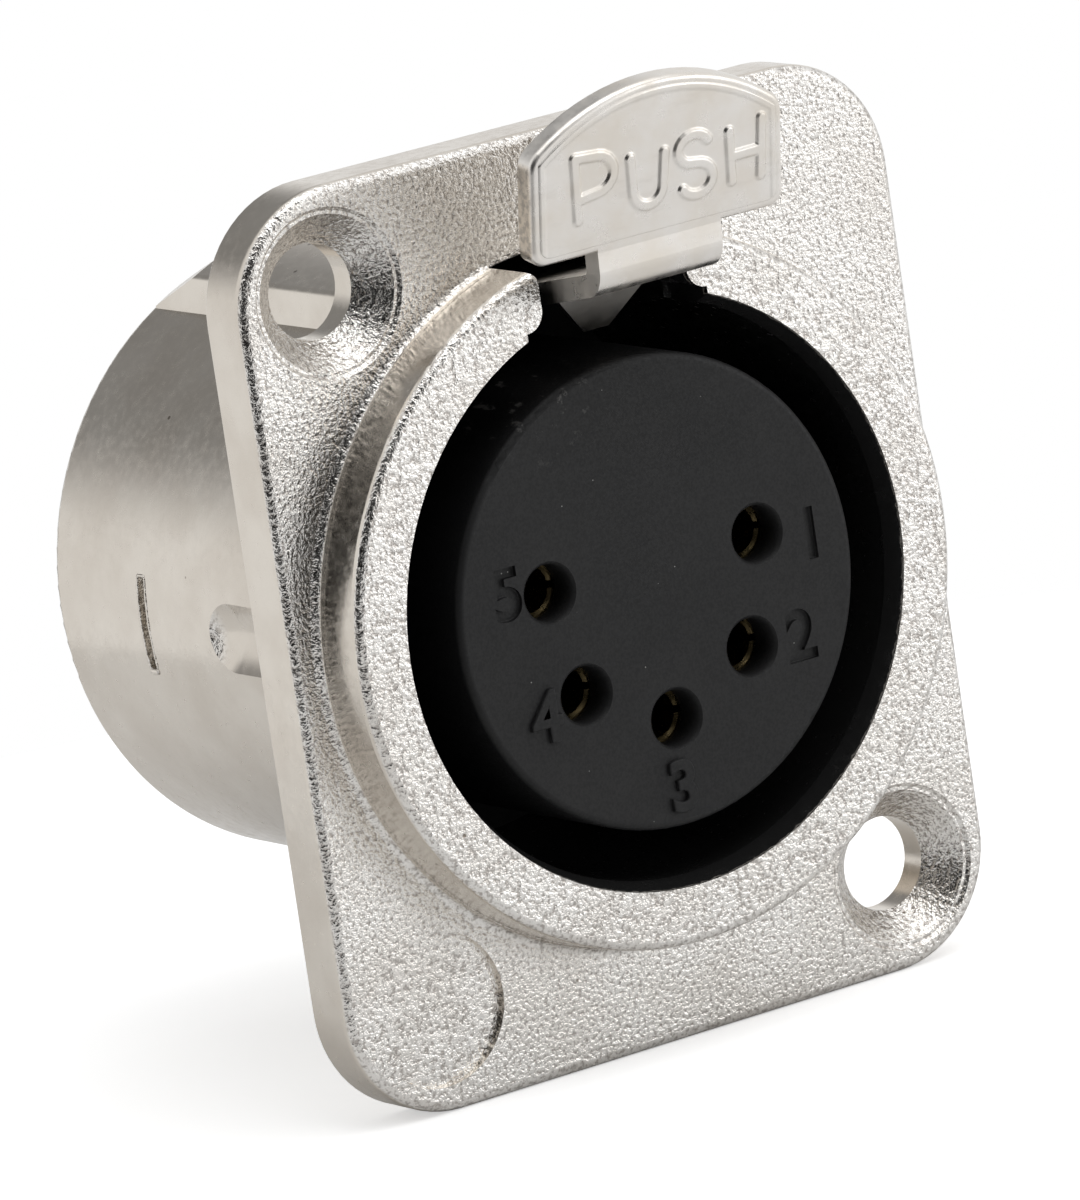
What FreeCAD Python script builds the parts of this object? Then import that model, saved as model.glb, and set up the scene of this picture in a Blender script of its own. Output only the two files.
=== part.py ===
import FreeCAD, Part
import math
import os

from FreeCAD import Vector

# Female five-way XLR panel socket. Millimetres, +Z up, the front faces -Y.
# The origin is on the axis of the socket, in the plane of the flange's rear face,
# which is the face that seats on the panel.

# Flange
flange_width = 26.0
flange_height = 31.0
flange_thickness = 2.1
flange_corner_radius = 4.0
flange_front_round = 0.35
flange_rear_round = 0.12
screw_margin = 3.5
screw_hole_radius = 1.6
countersink_radius = 2.71
countersink_depth = 1.15
countersink_rim_bevel = 0.12
badge_recess_radius = 2.6
badge_recess_depth = 0.22

# Bore and barrel
bore_radius = 9.6
mouth_flare = 0.3
mouth_depth = 0.7
mating_depth = 12.9
seat_step = 0.3
barrel_wall = 0.58
barrel_beyond_insert = 2.65
barrel_rim_round = 0.3

# Collar in front of the flange
collar_height = 2.15
collar_lip = 1.93
collar_draft = 0.09
collar_rim_round = 0.32
collar_cove_radius = 0.3

# Rib on top of the barrel, which houses the latch
rib_half_width = 5.0
rib_rise = 1.12
rib_end_rise = 0.07
rib_edge_round = 0.3
rib_roof_wall = 0.3
rib_tail_gap = 0.4

# Openings for the latch in the collar and the flange
collar_notch_gap = 0.45
collar_notch_inner_round = 0.7
collar_notch_outer_round = 0.5
flange_notch_gap = 0.85
flange_notch_margin = 0.13
flange_notch_floor = 0.35

# Shallow pocket in the side of the barrel
pocket_cutter_radius = 1.9
pocket_depth = 0.48
pocket_length = 5.6

# Stakes that hold the insert
stake_inset = 2.25
stake_width = 0.4
stake_length = 3.2
stake_outer_depth = 0.3
stake_inner_height = 0.25
stake_root = 0.05

# Insert: a core that holds the contacts, in a flange ring seated in the barrel
plug_shell_space = 1.72
insert_face_recess = 0.05
insert_face_round = 0.25
insert_flange_length = 5.1
insert_flange_gap = 0.08
insert_hub_wall = 1.67
insert_hub_length = 1.6
insert_hub_round = 0.3
stake_groove_depth = 0.35
stake_groove_width = 0.7

# Contacts
contact_count = 5
contact_circle_radius = 4.29
contact_spacing_deg = 360.0 / 7.0
first_contact_deg = 12.86
contact_depth = 1.2
contact_bore_radius = 0.79
contact_bore_length = 8.0
contact_wall = 0.41
contact_slit_width = 0.25
contact_slit_length = 6.0
contact_collar_rise = 0.4
contact_collar_length = 1.2
contact_gap = 0.04
face_hole_gap = 0.16
mouth_bevel = 0.1
cup_outer_radius = 1.3
cup_wall = 0.3
cup_bore_length = 3.2
cup_open_length = 2.2
cup_length = 5.0

# Ground contact, a spring strip with a solder tag
ground_deg = 326.0
ground_thickness = 0.25
ground_width = 2.0
ground_slot_gap = 0.12
ground_channel_depth = 0.42
ground_front_y = 0.6
ground_bulge_height = 0.35
ground_tag_length = 5.4
ground_tag_hole_radius = 0.55
ground_tag_round = 0.67

# Latch lever, folded from one strip of sheet
sheet_thickness = 0.75
tab_half_width = 5.0
tab_height = 5.42
tab_arch_radius = 7.9
tab_upper_corner_round = 0.8
tab_lower_corner_round = 0.55
tab_tilt_deg = 12.0
tab_edge_round = 0.2
tab_standoff = 3.05
tab_lift = 2.5
neck_height = 1.4
neck_lean = 0.1
neck_half_width = 2.45
bend_outer_radius = 0.95
tongue_plug_gap = 0.1
tongue_end_inset = 1.2
tongue_waist_inset = 0.2
arm_half_width = 2.0
arm_side_gap = 0.5
arm_pin_gap = 0.06
tail_length = 2.6
tooth_top_half_width = 2.1
tooth_tip_half_width = 0.5
tooth_reach = 0.85
tooth_inset = 0.53
tooth_lean_deg = 27.0
tooth_thickness = 0.6

# Latch pin and spring
pin_radius = 0.4
pin_inset = 1.85
pin_drop = 0.1
pin_side_cover = 0.7
pin_hole_gap = 0.03
pin_seat_gap = 0.03
pin_seat_depth = 2.0
ear_rim = 0.45
ear_root = 0.3
ear_recess_gap = 0.1
spring_inset = 1.8
spring_mean_radius = 0.75
spring_wire_radius = 0.13
spring_turns = 5.0
spring_pocket_depth = 2.0
spring_pocket_gap = 0.15
spring_end_gap = 0.02

# Places along the axis
flange_front_y = -flange_thickness
flange_middle_y = -flange_thickness / 2
collar_front_y = flange_front_y - collar_height
insert_face_y = collar_front_y + insert_face_recess
seat_y = collar_front_y + mating_depth
insert_flange_end_y = seat_y + insert_flange_length
insert_hub_end_y = insert_flange_end_y + insert_hub_length
barrel_end_y = insert_flange_end_y + barrel_beyond_insert
stake_y = seat_y + stake_inset
contact_front_y = insert_face_y + contact_depth
contact_collar_end_y = seat_y + contact_collar_length
contact_end_y = insert_hub_end_y + cup_length
pin_y = seat_y + pin_inset
spring_y = pin_y + spring_inset
tail_end_y = pin_y + tail_length
rib_cavity_end_y = tail_end_y + rib_tail_gap
crease_y = collar_front_y - tab_standoff
bend_y = crease_y + neck_lean
tongue_end_y = flange_front_y + tongue_end_inset
waist_y = flange_front_y + tongue_waist_inset
tooth_front_y = collar_front_y + tooth_inset

# Radii from the axis
mouth_radius = bore_radius + mouth_flare
rear_bore_radius = bore_radius + seat_step
barrel_radius = rear_bore_radius + barrel_wall
collar_front_radius = mouth_radius + collar_lip
collar_base_radius = collar_front_radius + collar_draft
rib_radius = barrel_radius + rib_rise
rib_end_radius = barrel_radius + rib_end_rise
rib_ceiling_radius = rib_radius - rib_roof_wall
flange_notch_radius = collar_base_radius + flange_notch_margin
insert_radius = bore_radius - plug_shell_space
insert_flange_radius = rear_bore_radius - insert_flange_gap
contact_outer_radius = contact_bore_radius + contact_wall
contact_collar_radius = contact_outer_radius + contact_collar_rise
insert_hub_radius = contact_circle_radius + cup_outer_radius + contact_gap + insert_hub_wall
face_hole_radius = contact_bore_radius + face_hole_gap
cup_bore_radius = cup_outer_radius - cup_wall
ear_radius = pin_radius + ear_rim
ground_outer_radius = bore_radius + ground_channel_depth - ground_slot_gap
ground_inner_radius = ground_outer_radius - ground_thickness

# Places of the panel screws
screw_x = flange_width / 2 - screw_margin
screw_z = flange_height / 2 - screw_margin

# Heights and widths of the latch and of the room around it
pin_z = bore_radius - pin_drop
arm_z = pin_z + pin_radius + arm_pin_gap
tongue_end_z = bore_radius + tongue_plug_gap
crease_z = bore_radius + tab_lift
bend_z = crease_z - neck_height
tooth_tip_z = bore_radius - tooth_reach
ear_recess_z = pin_z - ear_radius - ear_recess_gap
spring_floor_z = pin_z - spring_pocket_depth
pin_half_length = rib_half_width - pin_side_cover
pin_groove_radius = pin_radius + pin_seat_gap
cavity_half_width = arm_half_width + arm_side_gap
collar_notch_half_width = neck_half_width + collar_notch_gap
flange_notch_half_width = neck_half_width + flange_notch_gap

backward = Vector(0, 1, 0)
rightward = Vector(1, 0, 0)
upward = Vector(0, 0, 1)
origin = Vector(0, 0, 0)
reach = 40.0


def rod(radius, start_y, end_y, x=0.0, z=0.0):
    """Cylinder along Y."""
    return Part.makeCylinder(radius, end_y - start_y, Vector(x, start_y, z), backward)


def block(x_low, x_high, y_low, y_high, z_low, z_high):
    """Box between two corners."""
    size = (x_high - x_low, y_high - y_low, z_high - z_low)
    return Part.makeBox(*size, Vector(x_low, y_low, z_low))


def turned(points):
    """Solid turned about the Y axis from (radius, y) points."""
    corners = [Vector(radius, y, 0) for radius, y in points]
    face = Part.Face(Part.makePolygon(corners + corners[:1]))
    return face.revolve(origin, backward, 360)


def edges_where(shape, test):
    """Edges whose every point, sampled along the edge, passes the test."""
    chosen = []
    for edge in shape.Edges:
        samples = edge.discretize(5)
        if all(test(point) for point in samples):
            chosen.append(edge)
    return chosen


def near(value, target):
    return abs(value - target) < 1e-4


def axis_distance(point):
    return math.hypot(point.x, point.z)


def around_axis(shape, angle_deg):
    """Shape drawn along +X, turned about the Y axis to an angle seen from the front."""
    turned_shape = shape.copy()
    turned_shape.rotate(origin, backward, -angle_deg)
    return turned_shape


def contact_places():
    """Angle of every contact, counted clockwise from the front."""
    return [first_contact_deg - contact_spacing_deg * index for index in range(contact_count)]


def flange():
    half_width = flange_width / 2
    half_height = flange_height / 2
    plate = block(-half_width, half_width, flange_front_y, 0, -half_height, half_height)
    corners = edges_where(plate, lambda p: near(abs(p.x), half_width) and near(abs(p.z), half_height))
    plate = plate.makeFillet(flange_corner_radius, corners)
    plate = plate.makeFillet(flange_front_round, edges_where(plate, lambda p: near(p.y, flange_front_y)))
    return plate.makeFillet(flange_rear_round, edges_where(plate, lambda p: near(p.y, 0)))


def collar():
    root = flange_middle_y
    cove = collar_cove_radius
    wall = turned([
        (0, root),
        (collar_base_radius, root),
        (collar_base_radius, flange_front_y),
        (collar_front_radius, collar_front_y),
        (0, collar_front_y),
    ])
    front = edges_where(wall, lambda p: near(p.y, collar_front_y))
    rim = [edge for edge in front if near(axis_distance(edge.Vertexes[0].Point), collar_front_radius)]
    wall = wall.makeFillet(collar_rim_round, rim)
    foot_radius = collar_base_radius + cove
    foot = rod(foot_radius, flange_front_y - cove, root)
    ring = Part.makeTorus(foot_radius, cove, Vector(0, flange_front_y - cove, 0), backward)
    beyond = rod(foot_radius + cove, flange_front_y - 2 * cove, flange_front_y)
    hollow = beyond.cut(rod(foot_radius, flange_front_y - 2 * cove, flange_front_y))
    return wall.fuse(foot.cut(ring).cut(hollow))


def screw_hole(x, z):
    hole = rod(screw_hole_radius, flange_front_y, 0, x, z)
    cone = Part.makeCone(
        countersink_radius, screw_hole_radius, countersink_depth, Vector(x, flange_front_y, z), backward)
    bevel = Part.makeCone(
        countersink_radius + countersink_rim_bevel, countersink_radius,
        countersink_rim_bevel, Vector(x, flange_front_y, z), backward)
    return hole.fuse([cone, bevel])


def rib():
    """Part of a turned ring that lies over the top of the barrel."""
    ring = turned([
        (bore_radius, flange_middle_y),
        (rib_radius, flange_middle_y),
        (rib_radius, tail_end_y + rib_roof_wall),
        (rib_end_radius, barrel_end_y - barrel_rim_round),
        (rear_bore_radius, barrel_end_y - barrel_rim_round),
        (rear_bore_radius, 0),
    ])
    column = block(-rib_half_width, rib_half_width, flange_front_y, barrel_end_y, 0, reach)
    bar = ring.common(column)
    top = edges_where(bar, lambda p: near(abs(p.x), rib_half_width) and near(axis_distance(p), rib_radius))
    return bar.makeFillet(rib_edge_round, top)


def rib_cavity():
    """Room for the latch, open to the bore below it."""
    slot = block(-cavity_half_width, cavity_half_width, flange_front_y, rib_cavity_end_y, 0, reach)
    return slot.common(rod(rib_ceiling_radius, flange_front_y, rib_cavity_end_y))


def flange_notch():
    half = flange_notch_half_width
    slot = block(-half, half, flange_front_y, -flange_notch_floor, 0, reach)
    return slot.common(rod(flange_notch_radius, flange_front_y, -flange_notch_floor))


def collar_notch():
    """Gap in the collar, with its four upright corners rounded."""
    half = collar_notch_half_width
    gap = block(-half, half, collar_front_y, flange_front_y, 0, flange_notch_radius)
    flares = []
    for side in (-1, 1):
        flares.append(corner_relief(side * half, side, mouth_radius, collar_notch_inner_round, 1))
        flares.append(corner_relief(side * half, side, collar_front_radius, collar_notch_outer_round, -1))
    return gap.fuse(flares)


def corner_relief(x, side, radius, rounding, up):
    """What a round takes off one upright corner of the collar's gap."""
    z = math.sqrt(radius ** 2 - x ** 2)
    centre_x = x + side * rounding
    centre_z = z + up * rounding
    low_x, high_x = sorted((x, centre_x))
    low_z, high_z = sorted((z - up * rounding, centre_z))
    square = block(low_x, high_x, collar_front_y, flange_front_y, low_z, high_z)
    return square.cut(rod(rounding, collar_front_y, flange_front_y, centre_x, centre_z))


def side_pocket():
    axis_x = pocket_depth - barrel_radius - pocket_cutter_radius
    channel = rod(pocket_cutter_radius, 0, pocket_length, axis_x, 0)
    end = Part.makeSphere(pocket_cutter_radius, Vector(axis_x, pocket_length, 0))
    behind_flange = block(-reach, 0, 0, barrel_end_y, -reach, reach)
    return channel.fuse(end).common(behind_flange)


def stake_dent(side):
    low_x, high_x = sorted((side * (barrel_radius - stake_outer_depth), side * reach))
    half = stake_width / 2
    return block(low_x, high_x, stake_y - half, stake_y + half, -stake_length / 2, stake_length / 2)


def stake_ridge(side):
    """Metal pushed inwards behind the dent, into the insert's groove."""
    inner = rear_bore_radius - stake_inner_height
    half = stake_width / 2
    ring = rod(rear_bore_radius + stake_root, stake_y - half, stake_y + half).cut(
        rod(inner, stake_y - half, stake_y + half))
    low_x, high_x = sorted((0, side * barrel_radius))
    window = block(low_x, high_x, stake_y - half, stake_y + half, -stake_length / 2, stake_length / 2)
    return ring.common(window)


def pin_seats():
    """Two grooves, open to the bore, that hold the ends of the latch pin."""
    half = pin_groove_radius
    end = pin_half_length + pin_seat_gap
    seat = Part.makeCylinder(half, 2 * end, Vector(-end, pin_y, pin_z), rightward)
    return seat.fuse(block(-end, end, pin_y - half, pin_y + half, pin_z - pin_seat_depth, pin_z))


def ground_channel():
    outer = bore_radius + ground_channel_depth
    half = ground_width / 2 + ground_slot_gap
    channel = block(0, outer, ground_front_y - ground_slot_gap, barrel_end_y, -half, half)
    return around_axis(channel, ground_deg)


def housing():
    barrel = rod(barrel_radius, flange_middle_y, barrel_end_y)
    rim = edges_where(barrel, lambda p: near(p.y, barrel_end_y) and near(axis_distance(p), barrel_radius))
    barrel = barrel.makeFillet(barrel_rim_round, rim)
    body = flange().fuse([collar(), barrel, rib()])
    mouth = Part.makeCone(mouth_radius, bore_radius, mouth_depth, Vector(0, collar_front_y, 0), backward)
    cutters = [
        rod(bore_radius, collar_front_y, seat_y),
        rod(rear_bore_radius, seat_y, barrel_end_y),
        mouth,
        collar_notch(),
        flange_notch(),
        rib_cavity(),
        side_pocket(),
        pin_seats(),
        ground_channel(),
        rod(badge_recess_radius, flange_front_y, flange_front_y + badge_recess_depth, -screw_x, -screw_z),
    ]
    for side in (-1, 1):
        cutters.append(screw_hole(side * screw_x, -side * screw_z))
        cutters.append(stake_dent(side))
    body = body.cut(cutters)
    return body.fuse([stake_ridge(-1), stake_ridge(1)]).removeSplitter()


def contact_hole():
    """Stepped hole through the insert's core for one contact, on the Y axis."""
    mouth = Part.makeCone(
        face_hole_radius + mouth_bevel, face_hole_radius, mouth_bevel, Vector(0, insert_face_y, 0), backward)
    return rod(face_hole_radius, insert_face_y, contact_front_y).fuse([
        mouth,
        rod(contact_outer_radius + contact_gap, contact_front_y - contact_gap, seat_y),
        rod(contact_collar_radius + contact_gap, seat_y, insert_hub_end_y),
    ])


def at_contact(shape, angle_deg):
    """Shape on the Y axis, moved to one contact's place."""
    angle = math.radians(angle_deg)
    moved = shape.copy()
    moved.translate(Vector(math.cos(angle), 0, math.sin(angle)) * contact_circle_radius)
    return moved


def insert_core():
    """Core of the insert, which the plug's shell slides over in front."""
    body = rod(insert_radius, insert_face_y, seat_y)
    body = body.makeFillet(insert_face_round, edges_where(body, lambda p: near(p.y, insert_face_y)))
    hub = rod(insert_hub_radius, seat_y, insert_hub_end_y)
    hub = hub.makeFillet(insert_hub_round, edges_where(hub, lambda p: near(p.y, insert_hub_end_y)))
    return body.fuse(hub).cut([at_contact(contact_hole(), angle) for angle in contact_places()])


def insert_ring():
    """Flange ring round the core's rear, seated in the barrel and held by the stakes."""
    body = rod(insert_flange_radius, seat_y, insert_flange_end_y).cut(
        rod(insert_hub_radius, seat_y, insert_flange_end_y))
    half = stake_groove_width / 2
    groove = rod(reach, stake_y - half, stake_y + half).cut(
        rod(insert_flange_radius - stake_groove_depth, stake_y - half, stake_y + half))
    half = cavity_half_width
    lever_recess = block(-half, half, seat_y, insert_flange_end_y, ear_recess_z, reach)
    spring_pocket = Part.makeCylinder(
        spring_mean_radius + spring_wire_radius + spring_pocket_gap, reach,
        Vector(0, spring_y, spring_floor_z), upward)
    end = pin_half_length + pin_seat_gap
    half = pin_groove_radius
    pin_groove = block(-end, end, pin_y - half, pin_y + half, pin_z - half, reach)
    half = ground_width / 2 + ground_slot_gap
    floor = ground_inner_radius - ground_slot_gap
    strip_slot = block(floor, reach, seat_y, insert_flange_end_y, -half, half)
    return body.cut([groove, lever_recess, spring_pocket, pin_groove, around_axis(strip_slot, ground_deg)])


def contact():
    """One turned contact on the Y axis, slit in front, with a solder cup behind."""
    body = rod(contact_outer_radius, contact_front_y, seat_y).fuse([
        rod(contact_collar_radius, seat_y, contact_collar_end_y),
        rod(cup_outer_radius, contact_collar_end_y, contact_end_y),
    ])
    mouth = Part.makeCone(
        contact_bore_radius + mouth_bevel, contact_bore_radius, mouth_bevel,
        Vector(0, contact_front_y, 0), backward)
    half_slit = contact_slit_width / 2
    slit = block(
        -reach, reach, contact_front_y, contact_front_y + contact_slit_length, -half_slit, half_slit)
    cup_open = block(-reach, reach, contact_end_y - cup_open_length, contact_end_y, 0, reach)
    return body.cut([
        rod(contact_bore_radius, contact_front_y, contact_front_y + contact_bore_length),
        mouth,
        slit,
        rod(cup_bore_radius, contact_end_y - cup_bore_length, contact_end_y),
        cup_open,
    ])


def offset_line(points, distance):
    """Points of a bent line moved sideways, with sharp corners kept."""
    moved = []
    last = len(points) - 1
    for index, (y, z) in enumerate(points):
        before = points[max(index - 1, 0)]
        after = points[min(index + 1, last)]
        first = direction(before, (y, z)) if index > 0 else direction((y, z), after)
        second = direction((y, z), after) if index < last else first
        normal_y = -(first[1] + second[1])
        normal_z = first[0] + second[0]
        scale = distance / (1 + first[0] * second[0] + first[1] * second[1])
        moved.append((y + normal_y * scale, z + normal_z * scale))
    return moved


def direction(start, end):
    length = math.dist(start, end)
    return ((end[0] - start[0]) / length, (end[1] - start[1]) / length)


def folded_sheet(points, half_width, thickness):
    """Strip of sheet whose lower side follows the points in the YZ plane."""
    outline = points + offset_line(points, thickness)[::-1]
    corners = [Vector(-half_width, y, z) for y, z in outline]
    face = Part.Face(Part.makePolygon(corners + corners[:1]))
    return face.extrude(Vector(2 * half_width, 0, 0))


def cross_edges(shape, y, z):
    """Edges along X that pass through a place in the YZ plane."""
    return edges_where(shape, lambda p: near(p.y, y) and near(p.z, z))


def ground_contact():
    """Spring strip along the bore, bulged towards the mating shell, ending in a tag."""
    inner = ground_inner_radius
    middle = (ground_front_y + seat_y) / 2
    quarter = (seat_y - ground_front_y) / 4
    end_y = insert_flange_end_y + ground_tag_length
    line = [
        (ground_front_y, inner - ground_bulge_height / 2),
        (middle - quarter, inner - ground_bulge_height),
        (middle, inner - ground_bulge_height),
        (seat_y - ground_slot_gap, inner),
        (end_y, inner),
    ]
    strip = folded_sheet(line, ground_width / 2, ground_thickness)
    tag_hole = Part.makeCylinder(
        ground_tag_hole_radius, reach, Vector(0, end_y - ground_width / 2, 0), upward)
    tip = edges_where(strip, lambda p: near(p.y, end_y) and near(abs(p.x), ground_width / 2))
    strip = strip.makeFillet(ground_tag_round, tip).cut(tag_hole)
    strip.rotate(origin, backward, 90)
    return around_axis(strip, ground_deg)


def tab():
    """Push plate, drawn upright with its lower front edge on the crease line, then tilted."""
    half = tab_half_width
    rise = tab_arch_radius - math.sqrt(tab_arch_radius ** 2 - half ** 2)
    shoulder = tab_height - rise
    low_left = Vector(-half, 0, 0)
    low_right = Vector(half, 0, 0)
    high_right = Vector(half, 0, shoulder)
    high_left = Vector(-half, 0, shoulder)
    arch = Part.Arc(high_right, Vector(0, 0, tab_height), high_left).toShape()
    sides = [
        Part.makeLine(low_left, low_right),
        Part.makeLine(low_right, high_right),
        arch,
        Part.makeLine(high_left, low_left),
    ]
    plate = Part.Face(Part.Wire(sides)).extrude(Vector(0, sheet_thickness, 0))
    lower = edges_where(plate, lambda p: near(abs(p.x), half) and near(p.z, 0))
    plate = plate.makeFillet(tab_lower_corner_round, lower)
    upper = edges_where(plate, lambda p: near(abs(p.x), half) and near(p.z, shoulder))
    plate = plate.makeFillet(tab_upper_corner_round, upper)
    front = edges_where(plate, lambda p: near(p.y, 0))
    plate = plate.makeFillet(tab_edge_round, front)
    plate.rotate(origin, rightward, tab_tilt_deg)
    plate.translate(Vector(0, crease_y, crease_z))
    return plate


def tooth():
    """Tapered tooth under the tongue that catches the mating shell."""
    root_z = tongue_end_z + sheet_thickness
    height = root_z - tooth_tip_z
    corners = [
        Vector(-tooth_top_half_width, 0, height),
        Vector(-tooth_tip_half_width, 0, 0),
        Vector(tooth_tip_half_width, 0, 0),
        Vector(tooth_top_half_width, 0, height),
    ]
    lean = math.radians(tooth_lean_deg)
    shift = Vector(0, -height * math.tan(lean), 0)
    corners[0] += shift
    corners[3] += shift
    face = Part.Face(Part.makePolygon(corners + corners[:1]))
    wedge = face.extrude(Vector(0, math.cos(lean), math.sin(lean)) * tooth_thickness)
    wedge.translate(Vector(0, tooth_front_y + height * math.tan(lean), tooth_tip_z))
    return wedge


def ears():
    """Two ears folded down from the arm, bored for the pin."""
    pair = []
    for side in (-1, 1):
        low_x, high_x = sorted((side * (arm_half_width - sheet_thickness), side * arm_half_width))
        round_end = Part.makeCylinder(ear_radius, high_x - low_x, Vector(low_x, pin_y, pin_z), rightward)
        upper = block(low_x, high_x, pin_y - ear_radius, pin_y + ear_radius, pin_z, arm_z + ear_root)
        pair.append(round_end.fuse(upper))
    return pair


def latch_lever():
    tilt = math.radians(tab_tilt_deg)
    lap = tab_lower_corner_round
    neck = [
        (crease_y - lap * math.sin(tilt), crease_z + lap * math.cos(tilt)),
        (crease_y, crease_z),
        (bend_y, bend_z),
        (tongue_end_y, tongue_end_z),
    ]
    arm = [
        (tongue_end_y, tongue_end_z),
        (pin_y, arm_z),
        (tail_end_y, arm_z),
    ]
    front = folded_sheet(neck, neck_half_width, sheet_thickness)
    back = folded_sheet(arm, arm_half_width, sheet_thickness)
    waist = block(-reach, reach, waist_y, reach, 0, reach)
    waist = waist.cut(block(-arm_half_width, arm_half_width, -reach, reach, 0, reach))
    front = front.cut(waist)
    front = front.makeFillet(bend_outer_radius, cross_edges(front, bend_y, bend_z))
    inner_y, inner_z = offset_line(neck, sheet_thickness)[2]
    front = front.makeFillet(bend_outer_radius - sheet_thickness, cross_edges(front, inner_y, inner_z))
    lever = tab().fuse([front, back, tooth()] + ears())
    pin_bore = Part.makeCylinder(
        pin_radius + pin_hole_gap, 2 * reach, Vector(-reach, pin_y, pin_z), rightward)
    return lever.cut(pin_bore).removeSplitter()


def latch_pin():
    start = Vector(-pin_half_length, pin_y, pin_z)
    return Part.makeCylinder(pin_radius, 2 * pin_half_length, start, rightward)


def latch_spring():
    """Compression spring under the lever's tail."""
    low = spring_floor_z + spring_wire_radius + spring_end_gap
    high = arm_z - spring_wire_radius - spring_end_gap
    height = high - low
    path = Part.makeHelix(height / spring_turns, height, spring_mean_radius)
    profile = Part.Wire(Part.makeCircle(
        spring_wire_radius, Vector(spring_mean_radius, 0, 0), backward))
    coil = Part.Wire(path).makePipeShell([profile], True, True)
    coil.translate(Vector(0, spring_y, low))
    return coil


def save(name, shape):
    shape.exportStep(os.path.join("parts", name + ".step"))


os.makedirs("parts", exist_ok=True)
save("housing", housing())
save("insert_core", insert_core())
save("insert_ring", insert_ring())
for number, place in enumerate(contact_places(), start=1):
    save("contact_%d" % number, at_contact(contact(), place))
save("ground_contact", ground_contact())
save("latch_lever", latch_lever())
save("latch_pin", latch_pin())
save("latch_spring", latch_spring())
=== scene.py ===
import math

import bpy
import numpy as np
from mathutils import Euler, Matrix, Vector

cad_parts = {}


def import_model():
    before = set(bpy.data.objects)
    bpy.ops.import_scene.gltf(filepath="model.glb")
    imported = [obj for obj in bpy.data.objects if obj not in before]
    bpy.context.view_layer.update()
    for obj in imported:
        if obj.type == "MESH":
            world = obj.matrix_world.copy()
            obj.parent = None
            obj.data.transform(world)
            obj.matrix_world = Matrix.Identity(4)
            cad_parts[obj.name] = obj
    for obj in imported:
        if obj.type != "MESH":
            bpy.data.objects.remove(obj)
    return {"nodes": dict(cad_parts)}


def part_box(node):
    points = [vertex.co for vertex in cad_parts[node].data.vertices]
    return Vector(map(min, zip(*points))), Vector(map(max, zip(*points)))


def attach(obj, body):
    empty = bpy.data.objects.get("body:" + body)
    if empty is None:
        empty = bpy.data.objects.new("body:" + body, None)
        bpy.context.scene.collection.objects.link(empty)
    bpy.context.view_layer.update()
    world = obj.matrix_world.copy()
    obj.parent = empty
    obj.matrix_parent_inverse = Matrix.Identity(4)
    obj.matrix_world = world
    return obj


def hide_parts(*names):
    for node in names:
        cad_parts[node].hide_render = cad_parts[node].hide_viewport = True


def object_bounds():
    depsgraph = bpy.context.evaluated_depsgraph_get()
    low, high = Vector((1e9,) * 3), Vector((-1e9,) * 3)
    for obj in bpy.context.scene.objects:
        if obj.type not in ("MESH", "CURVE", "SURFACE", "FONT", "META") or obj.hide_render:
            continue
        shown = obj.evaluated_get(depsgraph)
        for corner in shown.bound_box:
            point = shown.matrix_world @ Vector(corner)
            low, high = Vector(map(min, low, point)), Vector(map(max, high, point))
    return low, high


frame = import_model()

# Lengths in this script are in metres unless a name says otherwise. The object's frame:
# +Z up, the mouth faces -Y, the origin lies on the socket's axis in the flange's rear face.
MM = 0.001
SEED = 7

# Camera, as an orbit round a point close to the origin
camera_aim = Vector((-1.373, 0.785, -0.41)) * MM
camera_distance = 386.6 * MM
camera_azimuth = -32.87
camera_elevation = 11.80
camera_roll = 8.48
camera_lens_mm = 351.5
camera_sensor_mm = 36.0
camera_nearest = 10 * MM
camera_farthest = 10000 * MM

# Pale tent round the object: its level, and its dark openings as a direction, the angles in
# degrees where the dark ends and where the tent is full again, and how much darker they are
tent_level = 0.86
dark_openings = [((-0.60, -0.78, 0.12), 30, 54, 0.84), ((-0.05, 0.82, 0.56), 16, 40, 0.6)]

# Round floor, small enough that the object also mirrors the tent from below its edge
floor_radius = 62 * MM
floor_glow = 0.5

# Soft square lamps: name, place in mm, side in mm and watts
lamps = [("overhead", (100, -300, 900), 800, 2.6), ("front_right", (700, -700, 150), 600, 1.2)]

# Where the casting is black inside: the bore, which has a black coat, and the room for the latch above it,
# where the black is painted shade
black_radius = 9.88 * MM
black_edge = 0.02 * MM
black_wander = 0.03 * MM
latch_gap_half = 4.8 * MM
latch_gap_radius = 11.3 * MM
latch_gap_floor = 8.6 * MM
latch_gap_end_y = 12.0 * MM

# Where the latch is painted dark as shade: behind the first place and below the second
latch_dark_y = -4.6 * MM
latch_dark_z = 11.0 * MM

# Burr round each stake's dent in the barrel, with a thicker lip at its lower end
barrel_radius = 10.48 * MM
stake_y = 10.9 * MM
stake_half_width = 0.2 * MM
stake_half_length = 1.6 * MM
stake_squareness = 0.25
burr_beside = 0.04 * MM
burr_beyond = 0.05 * MM
burr_sink = 0.01 * MM
burr_size = 0.045 * MM
burr_uneven = 0.03 * MM
burr_lip = 0.05 * MM
burr_lip_turn = -0.9
burr_flatness = 0.6

# Face of the push tab
tab_crease = Vector((0, -7.3, 12.1)) * MM
tab_tilt = math.radians(12.0)
tab_half_width = 5.0 * MM
tab_height = 5.42 * MM
tab_arch_radius = 7.9 * MM

# Digits engraved in the insert's face: text, x and z of the middle in mm
digit_places = [("1", 6.3, 0.4), ("2", 5.35, -2.85), ("3", -0.15, -6.6), ("4", -5.05, -3.1), ("5", -5.8, 1.2)]
digit_height = 1.7 * MM
digit_depth = 0.16 * MM
digit_boldness = 0.025 * MM
digit_slope = 0.05 * MM
digit_share_of_font = 0.72

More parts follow.
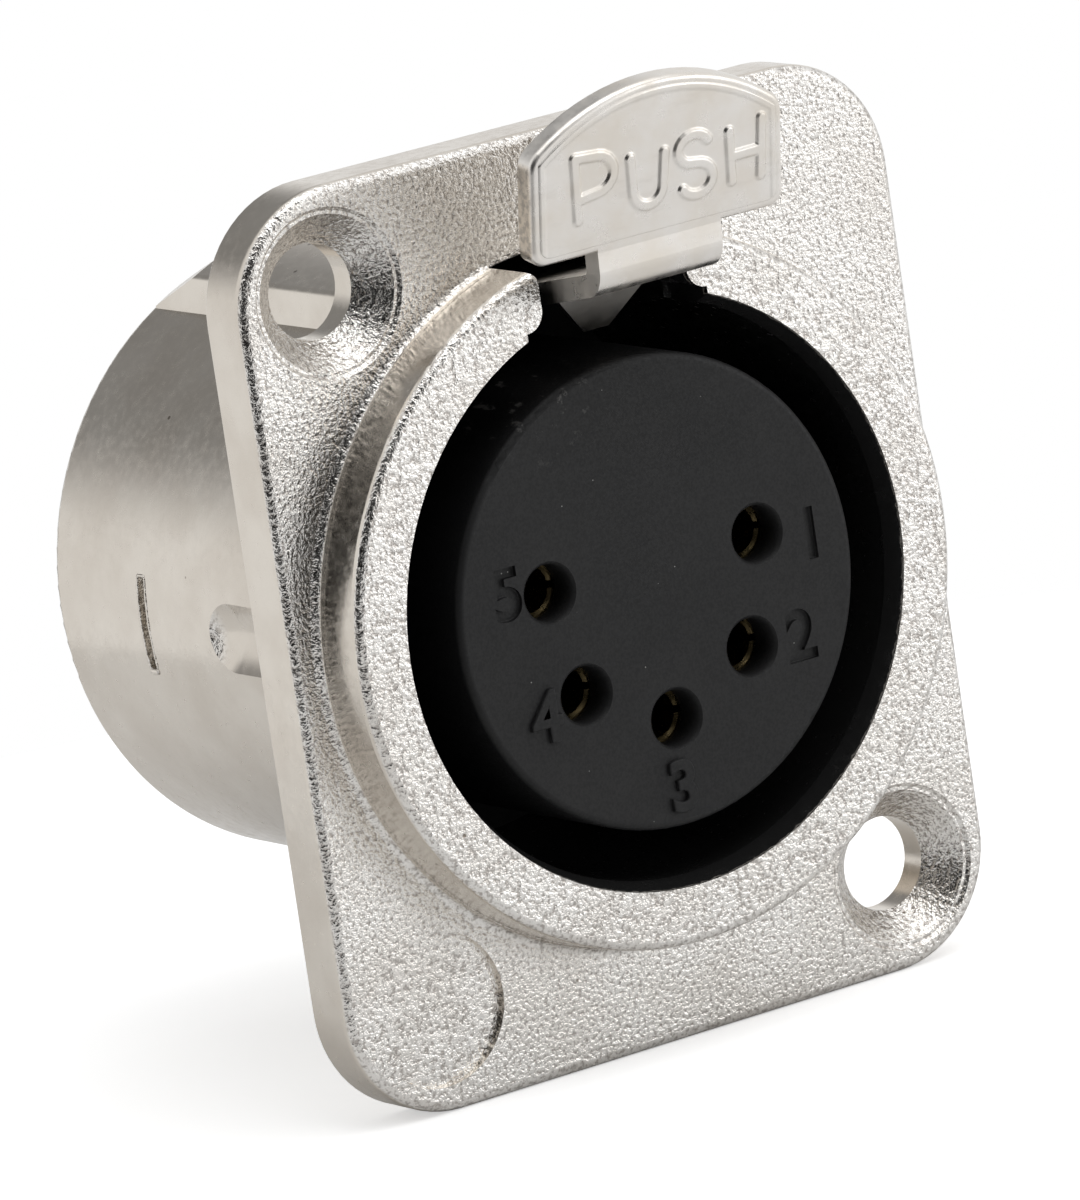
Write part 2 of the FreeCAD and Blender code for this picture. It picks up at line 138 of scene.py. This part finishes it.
# Skin of the tab's face: a field inside a raised rim along the arch, with raised letters
letter_stroke = 0.34 * MM
letter_wall = 0.09 * MM
letter_rise = 0.08 * MM
skin_inset = 0.25 * MM
skin_corner = 0.5 * MM
skin_sink = 0.02 * MM
rim_inset = 0.34 * MM
rim_wall = 0.08 * MM
rim_width = 0.14 * MM
rim_lift = 0.05 * MM
field_lift = 0.02 * MM
skin_depth = 0.2 * MM
skin_step = 0.045 * MM

# Colours of the casting: sand-textured front with painted shade in the grains' hollows, smooth plate, pits,
# and the black coat inside, whose black is also painted as shade in the room for the latch
sand_bright = (0.87, 0.85, 0.82)
sand_dull = (0.79, 0.76, 0.72)
sand_hollow_shade = (0.47, 0.44, 0.41)
plate_bright = (0.76, 0.71, 0.64)
plate_dull = (0.68, 0.625, 0.555)
pit_brown = (0.16, 0.13, 0.10)
coat_and_shade_black = (0.014, 0.014, 0.014)
coat_scratch = (0.16, 0.15, 0.14)

# Colours of the sheet: plate, smears, sheared edges, and painted shade on the part inside the mouth
sheet_bright = (0.84, 0.81, 0.77)
sheet_dull = (0.78, 0.73, 0.66)
sheet_smear = (0.62, 0.58, 0.53)
sheared_bright = (0.62, 0.52, 0.40)
sheared_dull = (0.22, 0.17, 0.12)
sheet_painted_shade = (0.05, 0.047, 0.042)

# Colours of the plastic, its dust and its scuffs
plastic_deep = (0.0075, 0.0076, 0.0082)
plastic_worn = (0.0105, 0.0105, 0.0110)
dust_pale = (0.55, 0.55, 0.53)
scuff_pale = (0.45, 0.44, 0.42)
scuff_place = (-3.2 * MM, -2.0 * MM, 7.2 * MM)

# Sand texture: its grains, the wider lumps under them, and the depth of each
grain_size = 0.15 * MM
grain_depth = 0.06 * MM
lump_size = 0.36 * MM
lump_depth = 0.08 * MM

cad_low, cad_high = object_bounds()


def arc(centre_x, centre_z, radius_x, radius_z, start_deg, end_deg, count=12):
    """Points along part of an ellipse."""
    angles = [math.radians(start_deg + (end_deg - start_deg) * step / count) for step in range(count + 1)]
    return [(centre_x + radius_x * math.cos(a), centre_z + radius_z * math.sin(a)) for a in angles]


def letters():
    """Strokes of the word on the tab, as points of (x, height above the crease) in mm."""
    p_bowl = [(-3.3, 3.42), (-2.55, 3.36)] + arc(-2.5, 2.72, 0.72, 0.64, 85, -85, 9) + [(-3.2, 1.98)]
    p_stem = [(-3.22, 1.3), (-3.32, 3.42)]
    u_shape = [(-1.12, 2.95)] + arc(-0.44, 1.82, 0.6, 0.6, 180, 360) + [(0.24, 2.9)]
    s_shape = arc(1.4, 2.72, 0.62, 0.5, 25, 245) + arc(1.5, 1.68, 0.64, 0.54, 75, -150)
    h_left = [(2.9, 1.28), (2.82, 3.0)]
    h_right = [(4.05, 1.25), (4.12, 3.2)]
    h_bar = [(2.88, 2.12), (4.08, 2.15)]
    return [p_bowl, p_stem, u_shape, s_shape, h_left, h_right, h_bar]


def distance_to_strokes(x, z, strokes):
    """Distance of every point to the nearest stroke, with all lengths in mm."""
    best = np.full(x.shape, 1e9)
    for stroke in strokes:
        for (x0, z0), (x1, z1) in zip(stroke, stroke[1:]):
            dx, dz = x1 - x0, z1 - z0
            along = np.clip(((x - x0) * dx + (z - z0) * dz) / (dx * dx + dz * dz), 0, 1)
            best = np.minimum(best, np.hypot(x - x0 - along * dx, z - z0 - along * dz))
    return best


def smooth_step(value, low, high):
    share = np.clip((value - low) / (high - low), 0, 1)
    return share * share * (3 - 2 * share)


def new_object(name, mesh):
    piece = bpy.data.objects.new(name, mesh)
    bpy.context.scene.collection.objects.link(piece)
    return piece


def mesh_from(name, points, faces, smooth=True):
    mesh = bpy.data.meshes.new(name)
    mesh.from_pydata([tuple(p) for p in points], [], faces)
    mesh.update()
    for polygon in mesh.polygons:
        polygon.use_smooth = smooth
    return new_object(name, mesh)


class Nodes:
    """Short calls that add a node to a tree and give its output."""

    def __init__(self, tree, space):
        self.tree = tree
        self.coordinates = tree.nodes.new("ShaderNodeTexCoord")
        self.place = self.coordinates.outputs[space]

    def link(self, value, socket):
        if isinstance(value, bpy.types.NodeSocket):
            self.tree.links.new(value, socket)
        else:
            socket.default_value = value

    def stretched(self, scale):
        made = self.tree.nodes.new("ShaderNodeMapping")
        self.tree.links.new(self.place, made.inputs["Vector"])
        made.inputs["Scale"].default_value = scale
        return made.outputs["Vector"]

    def noise(self, size, detail=2.0, rough=0.5, vector=None):
        """Noise with blotches of about that size."""
        made = self.tree.nodes.new("ShaderNodeTexNoise")
        self.link(vector or self.place, made.inputs["Vector"])
        made.inputs["Scale"].default_value = 1 / size
        made.inputs["Detail"].default_value = detail
        made.inputs["Roughness"].default_value = rough
        return made.outputs["Fac"]

    def cells(self, size):
        """Distance to the nearest of scattered points about that far apart, as a share of it."""
        made = self.tree.nodes.new("ShaderNodeTexVoronoi")
        self.link(self.place, made.inputs["Vector"])
        made.inputs["Scale"].default_value = 1 / size
        return made.outputs["Distance"]

    def ranged(self, value, low, high, to_low=0.0, to_high=1.0):
        made = self.tree.nodes.new("ShaderNodeMapRange")
        made.interpolation_type = "SMOOTHSTEP"
        self.link(value, made.inputs["Value"])
        for name, number in (("From Min", low), ("From Max", high), ("To Min", to_low), ("To Max", to_high)):
            made.inputs[name].default_value = number
        return made.outputs["Result"]

    def math(self, operation, a, b=0.0):
        made = self.tree.nodes.new("ShaderNodeMath")
        made.operation = operation
        self.link(a, made.inputs[0])
        self.link(b, made.inputs[1])
        return made.outputs[0]

    def mixed(self, share, a, b):
        made = self.tree.nodes.new("ShaderNodeMix")
        made.data_type = "RGBA"
        self.link(share, made.inputs["Factor"])
        self.link((*a, 1.0) if isinstance(a, tuple) else a, made.inputs["A"])
        self.link((*b, 1.0) if isinstance(b, tuple) else b, made.inputs["B"])
        return made.outputs["Result"]

    def part(self, axis, vector=None):
        """X, Y or Z of a vector."""
        made = self.tree.nodes.new("ShaderNodeSeparateXYZ")
        self.tree.links.new(vector or self.place, made.inputs["Vector"])
        return made.outputs[axis]

    def from_axis(self):
        """Distance from the socket's axis."""
        square = self.math("MULTIPLY", self.part("X"), self.part("X"))
        other = self.math("MULTIPLY", self.part("Z"), self.part("Z"))
        return self.math("SQRT", self.math("ADD", square, other))

    def vector_math(self, operation, vector, output):
        made = self.tree.nodes.new("ShaderNodeVectorMath")
        made.operation = operation
        self.tree.links.new(self.place, made.inputs[0])
        made.inputs[1].default_value = vector
        return made.outputs[output]

    def near(self, point, inner, outer):
        """1 close to a point, falling to 0."""
        return self.ranged(self.vector_math("DISTANCE", point, "Value"), inner, outer, 1.0, 0.0)

    def bumped(self, height, depth, strength=1.0, normal=None):
        made = self.tree.nodes.new("ShaderNodeBump")
        made.inputs["Distance"].default_value = depth
        self.link(strength, made.inputs["Strength"])
        self.link(height, made.inputs["Height"])
        if normal is not None:
            self.link(normal, made.inputs["Normal"])
        return made.outputs["Normal"]

    def seen_directly(self):
        """1 for a ray from the camera, or one that has only passed through glass."""
        rays = self.tree.nodes.new("ShaderNodeLightPath")
        return self.math("MAXIMUM", rays.outputs["Is Camera Ray"], rays.outputs["Is Transmission Ray"])


class Finish(Nodes):
    """A material under construction."""

    def __init__(self, name):
        self.material = bpy.data.materials.new(name)
        self.material.use_nodes = True
        super().__init__(self.material.node_tree, "Object")

    def set(self, **values):
        shader = self.tree.nodes["Principled BSDF"]
        for name, value in values.items():
            socket = shader.inputs[name.replace("_", " ")]
            self.link((*value, 1.0) if isinstance(value, tuple) else value, socket)
        return self.material


def latch_gap(made, axis_distance):
    """1 in the room for the latch, from behind the collar's front to before the barrel's rear, where the
    casting is painted black as shade.
    """
    front_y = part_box("housing")[0].y
    beside = made.math("ABSOLUTE", made.part("X"))
    shares = [
        made.ranged(made.part("Y"), front_y + 0.12 * MM, front_y + 0.3 * MM),
        made.ranged(made.part("Y"), latch_gap_end_y - 0.5 * MM, latch_gap_end_y, 1.0, 0.0),
        made.ranged(beside, latch_gap_half - black_edge, latch_gap_half + black_edge, 1.0, 0.0),
        made.ranged(made.part("Z"), latch_gap_floor, latch_gap_floor + 0.2 * MM),
        made.ranged(axis_distance, latch_gap_radius, latch_gap_radius + 0.05 * MM, 1.0, 0.0),
    ]
    mask = shares[0]
    for share in shares[1:]:
        mask = made.math("MULTIPLY", mask, share)
    return mask


def casting_finish():
    """Bright plate over a casting that is sand-textured in front with painted shade in its hollows, blackened
    inside the bore, and painted black as shade in the room for the latch.
    """
    made = Finish("plated_casting")
    facing = made.part("Y", made.coordinates.outputs["Normal"])
    front = made.ranged(facing, -0.62, -0.3, 1.0, 0.0)
    clouds = made.noise(3.2 * MM, 3.0, 0.55)
    grain = made.noise(grain_size, 2.0, 0.6)
    sand = made.mixed(made.ranged(clouds, 0.35, 0.7), sand_bright, sand_dull)
    # Painted shade: the grain's low points, where the bump sinks, are coloured darker
    sand = made.mixed(made.ranged(grain, 0.34, 0.54), sand_hollow_shade, sand)
    smooth = made.mixed(made.ranged(clouds, 0.3, 0.7), plate_bright, plate_dull)
    plate = made.mixed(front, smooth, sand)
    pits = made.ranged(made.cells(1.9 * MM), 0.03, 0.05, 1.0, 0.0)
    plate = made.mixed(made.math("MULTIPLY", pits, 0.8), plate, pit_brown)
    axis_distance = made.from_axis()
    wander = made.ranged(made.noise(0.25 * MM), 0, 1, -black_wander, black_wander)
    edge = made.math("ADD", axis_distance, wander)
    black = made.ranged(edge, black_radius - black_edge, black_radius + black_edge, 1.0, 0.0)
    # Painted shade: the room for the latch gets the bore's black as well, standing in for its shade
    black = made.math("MAXIMUM", black, latch_gap(made, axis_distance))
    scratches = made.ranged(made.noise(0.4 * MM, 3.0, 0.6, made.stretched((1.0, 0.12, 1.0))), 0.7, 0.84)
    coat_and_shade_colour = made.mixed(made.math("MULTIPLY", scratches, 0.2), coat_and_shade_black, coat_scratch)
    colour = made.mixed(black, plate, coat_and_shade_colour)
    lumps = made.noise(lump_size, 1.0, 0.5)
    normal = made.bumped(lumps, lump_depth, made.ranged(front, 0.0, 1.0, 0.02, 0.35))
    normal = made.bumped(grain, grain_depth, made.ranged(front, 0.0, 1.0, 0.012, 1.0), normal)
    rough = made.ranged(made.noise(0.3 * MM, 2.0), 0.3, 0.75, 0.14, 0.28)
    metal = made.ranged(black, 0.0, 1.0, 1.0, 0.0)
    return made.set(Base_Color=colour, Metallic=metal, Roughness=rough, Normal=normal)


def sheet_finish():
    """Satin plate on rolled sheet, with handling marks, browner sheared edges, and painted shade on the part
    inside the mouth.
    """
    made = Finish("plated_sheet")
    clouds = made.noise(2.4 * MM, 3.0, 0.55)
    plate = made.mixed(made.ranged(clouds, 0.35, 0.7), sheet_bright, sheet_dull)
    smears = made.ranged(made.noise(0.9 * MM, 4.0, 0.6, made.stretched((0.5, 1.0, 1.6))), 0.56, 0.75)
    plate = made.mixed(made.math("MULTIPLY", smears, 0.25), plate, sheet_smear)
    side = made.ranged(made.math("ABSOLUTE", made.part("X")), tab_half_width - 0.06 * MM, tab_half_width)
    speckle = made.ranged(made.noise(0.24 * MM, 4.0, 0.65), 0.42, 0.62)
    sheared = made.mixed(speckle, sheared_bright, sheared_dull)
    colour = made.mixed(made.math("MULTIPLY", side, 0.6), plate, sheared)
    # Painted shade: the part of the lever inside the mouth is coloured nearly black
    behind = made.ranged(made.part("Y"), latch_dark_y, latch_dark_y + 0.4 * MM)
    below = made.ranged(made.part("Z"), latch_dark_z - 0.5 * MM, latch_dark_z, 1.0, 0.0)
    inside = made.math("MULTIPLY", behind, below)
    colour = made.mixed(made.math("MULTIPLY", inside, 0.85), colour, sheet_painted_shade)
    normal = made.bumped(made.noise(0.12 * MM, 3.0, 0.6, made.stretched((0.35, 1.0, 1.0))), 0.008 * MM, 0.35)
    normal = made.bumped(made.noise(1.1 * MM, 2.0), 0.02 * MM, 0.35, normal)
    rough = made.ranged(made.noise(0.6 * MM, 4.0, 0.6), 0.3, 0.75, 0.26, 0.44)
    return made.set(Base_Color=colour, Metallic=1.0, Roughness=rough, Normal=normal)


def plastic_finish():
    """Dark moulded plastic with dust specks and scuffs on its upper side."""
    made = Finish("insert_plastic")
    clouds = made.ranged(made.noise(2.8 * MM, 3.0), 0.3, 0.7)
    body = made.mixed(clouds, plastic_deep, plastic_worn)
    dust = made.ranged(made.cells(0.62 * MM), 0.028, 0.05, 1.0, 0.0)
    dust = made.math("MULTIPLY", dust, made.ranged(made.noise(1.3 * MM, 1.0), 0.5, 0.6))
    body = made.mixed(made.math("MULTIPLY", dust, 0.45), body, dust_pale)
    rub = made.near(scuff_place, 0.8 * MM, 3.6 * MM)
    streaks = made.ranged(made.noise(0.45 * MM, 5.0, 0.7, made.stretched((1.0, 0.35, 1.0))), 0.58, 0.68)
    rub = made.math("MULTIPLY", rub, streaks)
    colour = made.mixed(made.math("MULTIPLY", rub, 0.35), body, scuff_pale)
    fine = made.noise(0.09 * MM, 2.0)
    normal = made.bumped(fine, 0.006 * MM, 0.5)
    normal = made.bumped(made.noise(0.7 * MM, 3.0), 0.01 * MM, 0.4, normal)
    rough = made.ranged(fine, 0.3, 0.7, 0.5, 0.66)
    return made.set(Base_Color=colour, Specular_IOR_Level=0.34, Roughness=rough, Normal=normal)


def turned_finish(name, bright, dull, turning_size):
    """Metal turned or drawn along Y, with fine rings."""
    made = Finish(name)
    tone = made.ranged(made.noise(0.8 * MM, 3.0), 0.3, 0.7)
    colour = made.mixed(tone, bright, dull)
    rings = made.noise(turning_size, 2.0, 0.6, made.stretched((0.1, 1.0, 0.1)))
    normal = made.bumped(rings, 0.006 * MM, 0.6)
    rough = made.ranged(made.noise(0.3 * MM, 2.0), 0.3, 0.7, 0.22, 0.36)
    return made.set(Base_Color=colour, Metallic=1.0, Roughness=rough, Normal=normal)


def floor_finish():
    """Pale floor that shows white to the camera and keeps a soft shadow."""
    made = Finish("pale_floor")
    colour = made.mixed(made.noise(30 * MM), (0.78, 0.78, 0.78), (0.82, 0.82, 0.82))
    glow = made.math("MULTIPLY", made.seen_directly(), floor_glow)
    return made.set(Base_Color=colour, Roughness=0.9, Emission_Color=(1.0, 1.0, 1.0), Emission_Strength=glow)


def digit_cutter(text, x, z, face_y):
    """Solid digit with sloped sides, standing half out of a face that looks along -Y."""
    curve = bpy.data.curves.new("digit", "FONT")
    curve.body = text
    curve.align_x = "CENTER"
    curve.align_y = "CENTER"
    curve.size = digit_height / digit_share_of_font
    curve.extrude = digit_depth - digit_slope
    curve.bevel_depth = digit_slope
    curve.offset = digit_boldness
    drawn = new_object("digit", curve)
    mesh = bpy.data.meshes.new_from_object(drawn.evaluated_get(bpy.context.evaluated_depsgraph_get()))
    bpy.data.objects.remove(drawn)
    upright = Euler((math.radians(90), 0, 0)).to_matrix().to_4x4()
    mesh.transform(Matrix.Translation((x, face_y, z)) @ upright)
    return new_object("digit_cutter", mesh)


def marked_insert():
    """The insert with its digits cut into the face."""
    low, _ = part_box("insert_core")
    piece = new_object("insert_marked", frame["nodes"]["insert_core"].data.copy())
    for text, x, z in digit_places:
        cutter = digit_cutter(text, x * MM, z * MM, low.y)
        cut = piece.modifiers.new("digit", "BOOLEAN")
        cut.object = cutter
        cut.operation = "DIFFERENCE"
        cut.solver = "EXACT"
        mesh = bpy.data.meshes.new_from_object(piece.evaluated_get(bpy.context.evaluated_depsgraph_get()))
        piece.modifiers.clear()
        piece.data = mesh
        bpy.data.objects.remove(cutter)
    return piece


def tab_point(x, z, out):
    """Place of a point on the tab's face, raised by out along the face's normal."""
    up = Vector((0, -math.sin(tab_tilt), math.cos(tab_tilt)))
    front = Vector((0, -math.cos(tab_tilt), -math.sin(tab_tilt)))
    return tab_crease + Vector((x, 0, 0)) + up * z + front * out


def skin_heights():
    """Grid of points on the tab's face and how far each stands out of it."""
    half = tab_half_width - skin_inset
    share_x, share_z = np.meshgrid(
        np.linspace(-1, 1, int(2 * half / skin_step)), np.linspace(0, 1, int(tab_height / skin_step)))
    x = share_x * half
    arch_z = tab_height - tab_arch_radius
    into_corner = np.clip((np.abs(x) - half + skin_corner) / skin_corner, 0, 1)
    foot = skin_inset + skin_corner * (1 - np.sqrt(1 - into_corner ** 2))
    top = np.sqrt((tab_arch_radius - skin_inset) ** 2 - x ** 2) + arch_z
    z = foot + share_z * (top - foot)
    from_arch = np.minimum(tab_half_width - np.abs(x), tab_arch_radius - np.hypot(x, z - arch_z))
    from_foot = z - foot + rim_inset + rim_width
    rise = smooth_step(np.minimum(from_arch, from_foot), rim_inset - rim_wall, rim_inset)
    fall = smooth_step(from_arch, rim_inset + rim_width, rim_inset + rim_width + rim_wall)
    height = -skin_sink + (rim_lift + skin_sink) * rise - (rim_lift - field_lift) * fall
    height = np.where(share_z > 0, height, -skin_sink)
    beside = distance_to_strokes(x / MM, z / MM, letters()) * MM
    raised = 1 - smooth_step(beside, letter_stroke / 2 - letter_wall / 2, letter_stroke / 2 + letter_wall / 2)
    return x, z, height + letter_rise * raised


def tab_skin():
    """Closed skin on the tab's face, let into it at its rim."""
    x, z, height = skin_heights()
    rows, columns = x.shape
    points = [tab_point(x[i, j], z[i, j], height[i, j]) for i in range(rows) for j in range(columns)]
    faces = []
    for i in range(rows - 1):
        for corner in range(i * columns, (i + 1) * columns - 1):
            faces.append((corner, corner + 1, corner + columns + 1, corner + columns))
    rim = list(range(columns))
    rim += [i * columns + columns - 1 for i in range(1, rows)]
    rim += [(rows - 1) * columns + j for j in range(columns - 2, -1, -1)]
    rim += [i * columns for i in range(rows - 2, 0, -1)]
    first = len(points)
    points += [tab_point(x.flat[index], z.flat[index], -skin_depth) for index in rim]
    count = len(rim)
    for step in range(count):
        after = (step + 1) % count
        faces.append((rim[step], first + step, first + after, rim[after]))
    faces.append(tuple(range(first, first + count)))
    return mesh_from("tab_face", points, faces)


def stake_burr(side):
    """Raised, uneven metal round a stake's dent in the barrel."""
    rng = np.random.default_rng(SEED + side)
    steps = 90
    ring = 8
    points = []
    for step in range(steps):
        turn = 2 * math.pi * step / steps
        up, back = math.sin(turn), math.cos(turn)
        out_z = math.copysign(abs(up) ** stake_squareness, up) * (stake_half_length + burr_beyond)
        out_y = math.copysign(abs(back) ** stake_squareness, back) * (stake_half_width + burr_beside)
        size = burr_size + burr_uneven * rng.random() + burr_lip * (up < burr_lip_turn)
        surface_x = math.sqrt((barrel_radius - burr_sink) ** 2 - out_z ** 2)
        for corner in range(ring):
            angle = 2 * math.pi * corner / ring
            z = out_z + size * math.cos(angle) * up
            y = stake_y + out_y + size * math.cos(angle) * back
            x = surface_x + burr_flatness * size * math.sin(angle)
            points.append((side * x, y, z))
    faces = []
    for step in range(steps):
        for corner in range(ring):
            a = step * ring + corner
            b = step * ring + (corner + 1) % ring
            c = (step + 1) % steps * ring + (corner + 1) % ring
            d = (step + 1) % steps * ring + corner
            faces.append((a, b, c, d) if side < 0 else (d, c, b, a))
    return mesh_from("stake_burr_left" if side < 0 else "stake_burr_right", points, faces)


def floor(height):
    """Round pale table under the object."""
    steps = 96
    turns = [2 * math.pi * step / steps for step in range(steps)]
    rim = [(floor_radius * math.cos(turn), floor_radius * math.sin(turn), height) for turn in turns]
    piece = mesh_from("floor", rim, [tuple(range(steps))], smooth=False)
    piece.data.materials.append(floor_finish())


def lamp(name, place_mm, side_mm, watts):
    """Soft square lamp aimed at the object."""
    light = bpy.data.lights.new(name, "AREA")
    light.shape = "SQUARE"
    light.size = side_mm * MM
    light.energy = watts
    made = new_object(name, light)
    made.location = Vector(place_mm) * MM
    made.rotation_euler = (-made.location).to_track_quat("-Z", "Y").to_euler()


def world():
    """Pale tent with a dark opening at the camera and one high up behind the object."""
    made = bpy.data.worlds.new("studio")
    made.use_nodes = True
    nodes = Nodes(made.node_tree, "Generated")
    level = tent_level
    for direction, inner, outer, drop in dark_openings:
        towards = nodes.vector_math("DOT_PRODUCT", Vector(direction).normalized(), "Value")
        rim, middle = math.cos(math.radians(outer)), math.cos(math.radians(inner))
        darker = nodes.ranged(towards, rim, middle, 0.0, drop)
        level = nodes.math("SUBTRACT", level, darker)
    strength = nodes.math("MAXIMUM", nodes.math("MAXIMUM", level, 0.0), nodes.seen_directly())
    background = made.node_tree.nodes["Background"]
    background.inputs["Color"].default_value = (1.0, 1.0, 1.0, 1.0)
    nodes.link(strength, background.inputs["Strength"])
    bpy.context.scene.world = made


def camera():
    azimuth = math.radians(camera_azimuth)
    elevation = math.radians(camera_elevation)
    back = Vector((
        math.sin(azimuth) * math.cos(elevation),
        -math.cos(azimuth) * math.cos(elevation),
        math.sin(elevation)))
    lens = bpy.data.cameras.new("camera")
    lens.lens = camera_lens_mm
    lens.sensor_width = camera_sensor_mm
    lens.clip_start = camera_nearest
    lens.clip_end = camera_farthest
    made = new_object("camera", lens)
    level = (-back).to_track_quat("-Z", "Y")
    rolled = Matrix.Rotation(math.radians(camera_roll), 4, -back).to_quaternion()
    made.rotation_mode = "QUATERNION"
    made.rotation_quaternion = rolled @ level
    made.location = camera_aim + back * camera_distance
    bpy.context.scene.camera = made


def dress(name, finish):
    """Gives a node of the frame its finish."""
    for slot in frame["nodes"][name].material_slots:
        slot.material = finish


def add_piece(piece, finish, body):
    piece.data.materials.clear()
    piece.data.materials.append(finish)
    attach(piece, body)


camera()
world()
floor(cad_low.z)
for settings in lamps:
    lamp(*settings)

casting = casting_finish()
sheet = sheet_finish()
# Contact brass, partly its own colour and partly dimmed as painted shade for the contacts deep in their holes
contact_metal = turned_finish("contact_metal", (0.34, 0.26, 0.13), (0.22, 0.17, 0.08), 0.05 * MM)
spring_metal = turned_finish("spring_metal", (0.78, 0.74, 0.66), (0.66, 0.60, 0.50), 0.12 * MM)
plastic = plastic_finish()
steel = turned_finish("steel", (0.66, 0.66, 0.66), (0.52, 0.52, 0.52), 0.06 * MM)

dress("housing", casting)
dress("insert_ring", plastic)
dress("latch_lever", sheet)
dress("ground_contact", spring_metal)
dress("latch_pin", steel)
dress("latch_spring", steel)
for node in frame["nodes"]:
    if node.startswith("contact_"):
        dress(node, contact_metal)

core = marked_insert()
add_piece(core, plastic, "body")
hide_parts("insert_core")
add_piece(tab_skin(), sheet, "latch")
for side in (-1, 1):
    add_piece(stake_burr(side), casting, "body")

bpy.context.scene.view_settings.view_transform = "Standard"
